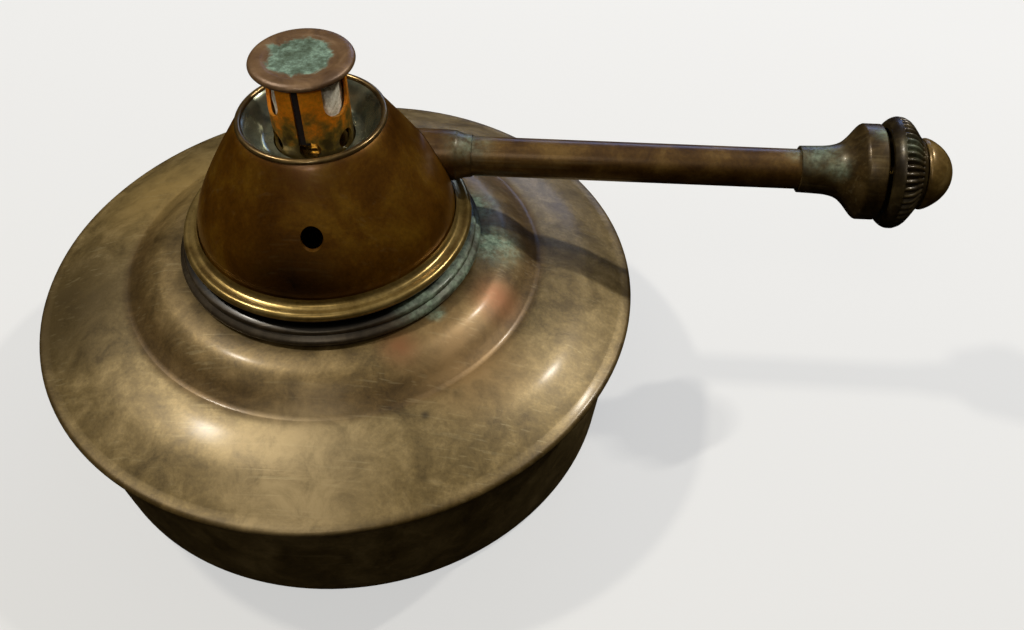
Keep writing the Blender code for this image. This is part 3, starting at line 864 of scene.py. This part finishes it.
# %% The saddle
SADDLE_START = 13.5
saddle_end = lying("handle_collar")[2]
swept = smooth([
    (tube_r + 0.28, saddle_end), (tube_r + 0.45, saddle_end - 1.4), (4.9, saddle_end - 2.8),
    (5.2, saddle_end - 4.6), (5.3, SADDLE_START)], 5)
saddle_bore = [(tube_r + 0.25, SADDLE_START), (tube_r + 0.25, saddle_end)]
saddle = piece(
    lay(turned(swept + saddle_bore, steps=TUBE_STEPS)),
    "handle_saddle", tube_brass, "burner", ["handle_collar"])
bell_shape = [(r + 0.12, z) for r, z in wall + flared]
bell_core = [(0.0, bell_shape[0][1])] + bell_shape + [(0.0, bell_shape[-1][1])]
cut(saddle, [cutter(turned(bell_core, closed=False))])

# %% [markdown]
# The tube's far end sits in the gland housing, a turned trumpet with a short straight band.  Its
# inside is bored in steps for the tube, the spindle, the packing and the gland nut.

# %% The gland housing
housing_r, housing_start, housing_end = lying("gland_housing")
SPINDLE_BORE = 1.6
band = [(housing_r - 0.3, housing_end), (housing_r, housing_end - 0.3), (housing_r, housing_end - 3.5),
        (housing_r - 0.15, housing_end - 3.8)]
trumpet = smooth([
    (housing_r - 0.5, housing_end - 4.2), (8.45, housing_end - 4.8), (6.95, housing_end - 6.1),
    (5.65, housing_end - 7.7), (5.0, housing_end - 9.9), (4.8, housing_end - 12.9)], 6)
SOCKET_END, PACKING_START, NUT_START = 102.6, 104.2, 107.6
PACKING_BORE, NUT_BORE = 5.2, 8.4
socket = [
    (4.72, housing_start + 0.1), (4.6, housing_start), (tube_r + 0.2, housing_start),
    (tube_r + 0.2, SOCKET_END), (SPINDLE_BORE, SOCKET_END), (SPINDLE_BORE, PACKING_START),
    (PACKING_BORE, PACKING_START), (PACKING_BORE, NUT_START), (NUT_BORE, NUT_START),
    (NUT_BORE, housing_end)]
piece(
    lay(turned(band + trumpet + socket)), "gland_trumpet", housing_brass, "burner", ["gland_housing"])

# %% [markdown]
# The knob is a hollow bead with 48 flutes round its outer shoulder, which gives the fingers a
# grip.  It is spun smooth first.  Then every point on the shoulder moves inwards by a wave that
# has 48 crests and fades out at both ends of the shoulder.

# %% The fluted knob
knob_r, knob_start, knob_end = lying("control_knob")
FLUTES, FLUTE_DEPTH = 48, 0.6
shoulder = smooth([
    (knob_r - 4.0, knob_end - 0.2), (knob_r - 3.3, knob_end - 0.9), (knob_r - 2.0, knob_end - 1.9),
    (knob_r - 0.75, knob_end - 3.0), (knob_r - 0.14, knob_end - 4.1), (knob_r, knob_end - 5.1),
    (knob_r - 0.2, knob_end - 5.9), (knob_r - 0.65, knob_end - 6.6), (knob_r - 1.35, knob_start)], 7)
CAVITY_R, CAVITY_DEPTH = 9.0, 1.8
cavity = [
    (CAVITY_R, knob_start), (CAVITY_R, knob_start + CAVITY_DEPTH),
    (SPINDLE_BORE, knob_start + CAVITY_DEPTH), (SPINDLE_BORE, knob_end)]
work = turned([(knob_r - 4.3, knob_end)] + shoulder + cavity, steps=FLUTES * 8)
for vert in work.verts:
    radius, along = vert.co.xy.length / MM, vert.co.z / MM
    rise = min((knob_end - 0.9 - along) / 0.5, (along - (knob_end - 5.7)) / 0.6, 1.0)
    if radius > 5.0 and rise > 0.0 and along > knob_start + 1.9:
        wave = 0.5 - 0.5 * math.cos(FLUTES * math.atan2(vert.co.y, vert.co.x))
        vert.co.xy *= 1 - FLUTE_DEPTH * rise * wave ** 1.5 / radius
piece(lay(work), "fluted_knob", knob_brass, "knob", ["control_knob"], sharp=50)

# %% [markdown]
# A rounded nut holds the knob on its spindle and makes the handle's smooth nose.  Its bore is
# blind, so the outline ends on the axis at both ends and is not closed.

# %% The knob's nose
nut_r, nut_start, nut_end = lying("knob_nut")
NUT_BORE_END = nut_end - 2.4
nose_line = smooth([
    (0.0, nut_end), (1.8, nut_end - 0.15), (3.7, nut_end - 0.95), (5.4, nut_end - 2.4),
    (6.65, nut_end - 4.2), (nut_r, nut_end - 5.6), (nut_r - 0.2, nut_start)], 7)
nut_bore = [(SPINDLE_BORE, nut_start), (SPINDLE_BORE, NUT_BORE_END), (0.0, NUT_BORE_END)]
piece(
    lay(turned(nose_line + nut_bore, closed=False, steps=TUBE_STEPS)),
    "knob_nose", nose_brass, "knob", ["knob_nut"])

# %% [markdown]
# A plain brass tube carries the wick down from the burner into the font.

# %% The wick tube
wick_tube_r, wick_tube_foot, wick_tube_top = upright("wick_tube")
WICK_BORE = 4.45
piece(
    turned([(wick_tube_r - 0.15, wick_tube_top), (wick_tube_r, wick_tube_top - 0.2),
            (wick_tube_r, wick_tube_foot + 0.2), (wick_tube_r - 0.15, wick_tube_foot),
            (WICK_BORE, wick_tube_foot), (WICK_BORE, wick_tube_top)], steps=72),
    "wick_pipe", inner_brass, "wick_unit", ["wick_tube"])

# %% [markdown]
# The wick itself shows when the burner is lifted off.  Inside its tube it is a close bundle of
# cotton, which is turned and then made uneven by shallow dents.

# %% The wick
wick_top = upright("wick")[2]
ROPE_R = 4.0
rope = smooth([(0.0, wick_top), (3.0, wick_top - 0.2), (ROPE_R, wick_top - 1.0)], 5)
work = turned(rope + [(ROPE_R, 9.0), (2.6, 5.0), (0.0, 4.6)], closed=False, steps=60)
dent(work, 0.3, 1.5, 2.5)
piece(work, "wick_core", cotton, "wick_unit", ["wick"], sharp=60)

# %% [markdown]
# Below its tube the wick comes apart into strands that spread over the pan's floor and drink the
# spirit.  A strand is long, thin and bent, so each one is a curve with a round section, and all
# of them become one mesh at the end.

# %% The wick's strands
STRANDS = 12
spread_r = upright("wick")[0]
lines = bpy.data.curves.new("wick_strands", "CURVE")
lines.dimensions = "3D"
lines.bevel_depth = 0.85 * MM
lines.bevel_resolution = 3
lines.use_fill_caps = True
for i in range(STRANDS):
    turn = 2 * math.pi * i / STRANDS + 0.25 * math.sin(5.0 * i)
    reach = spread_r - 1.0 - 0.7 * (i % 3)
    strand = lines.splines.new("NURBS")
    route = [(2.6, 12.0, 0.0), (2.9, 8.0, 0.25), (4.2, 5.4, 0.45), (0.55 * reach + 2.2, 3.4, 0.5),
             (reach, 2.15, 0.6)]
    strand.points.add(len(route) - 1)
    for point, (r, z, twist) in zip(strand.points, route):
        angle = turn + twist
        point.co = (r * MM * math.cos(angle), r * MM * math.sin(angle), z * MM, 1.0)
    strand.use_endpoint_u = True
    strand.order_u = 3
strands_curve = placed("strands_curve", lines)
graph = bpy.context.evaluated_depsgraph_get()
strand_mesh = bpy.data.meshes.new_from_object(strands_curve.evaluated_get(graph))
bpy.data.objects.remove(strands_curve)
work = bmesh.new()
work.from_mesh(strand_mesh)
bmesh.ops.remove_doubles(work, verts=work.verts, dist=0.000001)
piece(work, "wick_strands", cotton, "wick_unit", [], sharp=60)

# %% [markdown]
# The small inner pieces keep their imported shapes, because only their edges ever show.  Each one
# still gets its own finish.

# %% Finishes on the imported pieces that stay
INNER_FINISHES = {
    "vapour_chamber": inner_brass, "jet_nipple": inner_brass, "wick_spindle": inner_brass,
    "spindle_bush": inner_brass, "gland_packing": graphite, "gland_nut": inner_brass}
for node, finish in INNER_FINISHES.items():
    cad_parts[node].material_slots[0].material = finish
    print(node, "->", finish.name)

# %% [markdown]
# The stove stands on a plain pale floor.  Most of the floor's brightness is its own glow, so that
# the lamps' shadows on it stay faint.  It is left out of the reflections and of the light that
# bounces: the pan's wall then stays as dark as it is over a dark table.

# %% Floor
FLOOR_HALF = 6.0
work = bmesh.new()
bmesh.ops.create_grid(work, x_segments=1, y_segments=1, size=FLOOR_HALF)
floor_mesh = meshed("floor", work)
floor = placed("floor", floor_mesh)
floor.visible_glossy = False
floor.visible_diffuse = False
paper, tree, shader, place = new_material(
    "pale paper", "stage", Base_Color=linear("#8c8c8a"), Roughness=1.0, Specular_IOR_Level=0.0,
    Emission_Strength=0.74)
# The glow is painted lighter towards the back and the right, as a painted falloff of light across the
# floor.
away = add(tree, "VectorMath", {1: (0.25, 1.0, 0.0)}, {0: place}, output="Value",
           operation="DOT_PRODUCT")
depth = add(tree, "MapRange", {"From Min": -0.1, "From Max": 0.2}, {"Value": away})
glow = ramp(tree, depth, [(0.0, "#dcdcdb"), (0.5, "#e3e4e5"), (1.0, "#ebeced")])
tree.links.new(glow, shader.inputs["Emission Color"])
floor_mesh.materials.append(paper)
print("floor:", floor.dimensions.x, "m across")

# %% [markdown]
# Metal shows the room it stands in, so the room's shades matter as much as the lamps.  This room
# is brightest overhead and nearly black low down, which keeps the steep sides of the pan and the
# underside of the handle dark.  Where the camera looks past the floor it sees only a pale wall.

# %% Room
world = bpy.data.worlds.new("room")
bpy.context.scene.world = world
world.use_nodes = True
tree = world.node_tree
background = tree.nodes["Background"]
direction = add(tree, "TexCoord", output="Generated")
up = add(tree, "SeparateXYZ", None, {"Vector": direction}, output="Z")
room = ramp(tree, up, [
    (0.0, "#0c0907"), (0.12, "#2a241c"), (0.35, "#4a433a"), (0.6, "#736c60"), (0.8, "#989286"),
    (1.0, "#b4ada0")])
sees = add(tree, "LightPath", output="Is Camera Ray")
seen = blend(tree, sees, room, linear("#eeeeec"))
tree.links.new(seen, background.inputs["Color"])
background.inputs["Strength"].default_value = 0.8
print("room:", len(tree.nodes), "nodes")

# %% [markdown]
# Two small, strong lamps stand high at the left and at the right.  They throw the handle's two
# shadows across the cover, and the right one also makes the short bright streak there.  A cool
# window low at the back tints the far side of the cover, and a weak, wide lamp in front lifts the
# side that faces the camera.

# %% Lamps
target = Vector((0.0, 0.0, 0.045))


def towards(azimuth, elevation):
    """One step in a direction.  Azimuth is from +X towards +Y."""
    turn, lift = math.radians(azimuth), math.radians(elevation)
    return Vector((math.cos(turn) * math.cos(lift), math.sin(turn) * math.cos(lift), math.sin(lift)))


def hang(light, lit, away):
    """Hangs a light that far away from the place it lights, facing it."""
    holder = placed(light.name, light)
    holder.location = lit + away
    holder.rotation_mode = "QUATERNION"
    holder.rotation_quaternion = away.to_track_quat("Z", "Y")


def lamp(name, azimuth, elevation, distance, width, height, watts, shade):
    """An area lamp that faces the stove."""
    light = bpy.data.lights.new(name, "AREA")
    light.shape = "RECTANGLE"
    light.size = width
    light.size_y = height
    light.energy = watts
    light.color = linear(shade)[:3]
    hang(light, target, towards(azimuth, elevation) * distance)
    print(f"{name}: {watts} W from azimuth {azimuth}, elevation {elevation}")


lamp("high left lamp", 170.0, 60.0, 0.9, 0.06, 0.06, 4.2, "#fff8ec")
lamp("streak lamp", 25.0, 48.0, 0.9, 0.02, 0.06, 3.8, "#fffaf2")
lamp("cool window", 79.0, 20.0, 1.1, 0.5, 0.22, 1.5, "#9cbcff")
lamp("front lamp", -100.0, 52.0, 0.9, 0.3, 0.3, 0.8, "#fff3dc")

# %% [markdown]
# The cap keeps the lamps off the barrel, the liveliest colour on the stove.  A studio would bring
# a narrow snooted lamp in under the cap's edge, and so does this cell: its beam is only as wide
# as the barrel.

# %% The snooted lamp
snoot = bpy.data.lights.new("snooted lamp", "SPOT")
snoot.energy = 5.5
BEAM_ANGLE = 1.5
snoot.spot_size = math.radians(BEAM_ANGLE)
snoot.spot_blend = 0.5
snoot.shadow_soft_size = 0.01
lit_place = Vector((0.0, -0.0065, 0.0825))
beam = Vector((0.02, -0.5, 0.42))
hang(snoot, lit_place, beam)
print(f"snooted lamp {beam.length:.2f} m from the barrel")

# %% [markdown]
# The camera stands in front and to the right of the stove, well above it, and looks down a
# little right of the stove's axis, so that the whole handle is in view.

# %% Camera
camera_data = bpy.data.cameras.new("camera")
camera_data.lens = 36.4
camera_data.sensor_width = 36.0
camera_data.clip_start = 0.01
camera = placed("camera", camera_data)
rim_height = rim_z + 2.1
STAND_OFF, STAND_ANGLE, STAND_LIFT = 230.1, -72.67, 44.78
camera.location = towards(STAND_ANGLE, STAND_LIFT) * STAND_OFF * MM
camera.location.z += rim_height * MM
aim = Vector((38.1, -7.7, rim_height)) * MM
look = (aim - camera.location).to_track_quat("-Z", "Y").to_matrix()
ROLL = math.radians(-0.29)
camera.rotation_euler = (look @ Matrix.Rotation(ROLL, 3, "Z")).to_euler()
bpy.context.scene.camera = camera
bpy.context.scene.view_settings.view_transform = "Standard"
print("camera at", [round(v, 3) for v in camera.location])
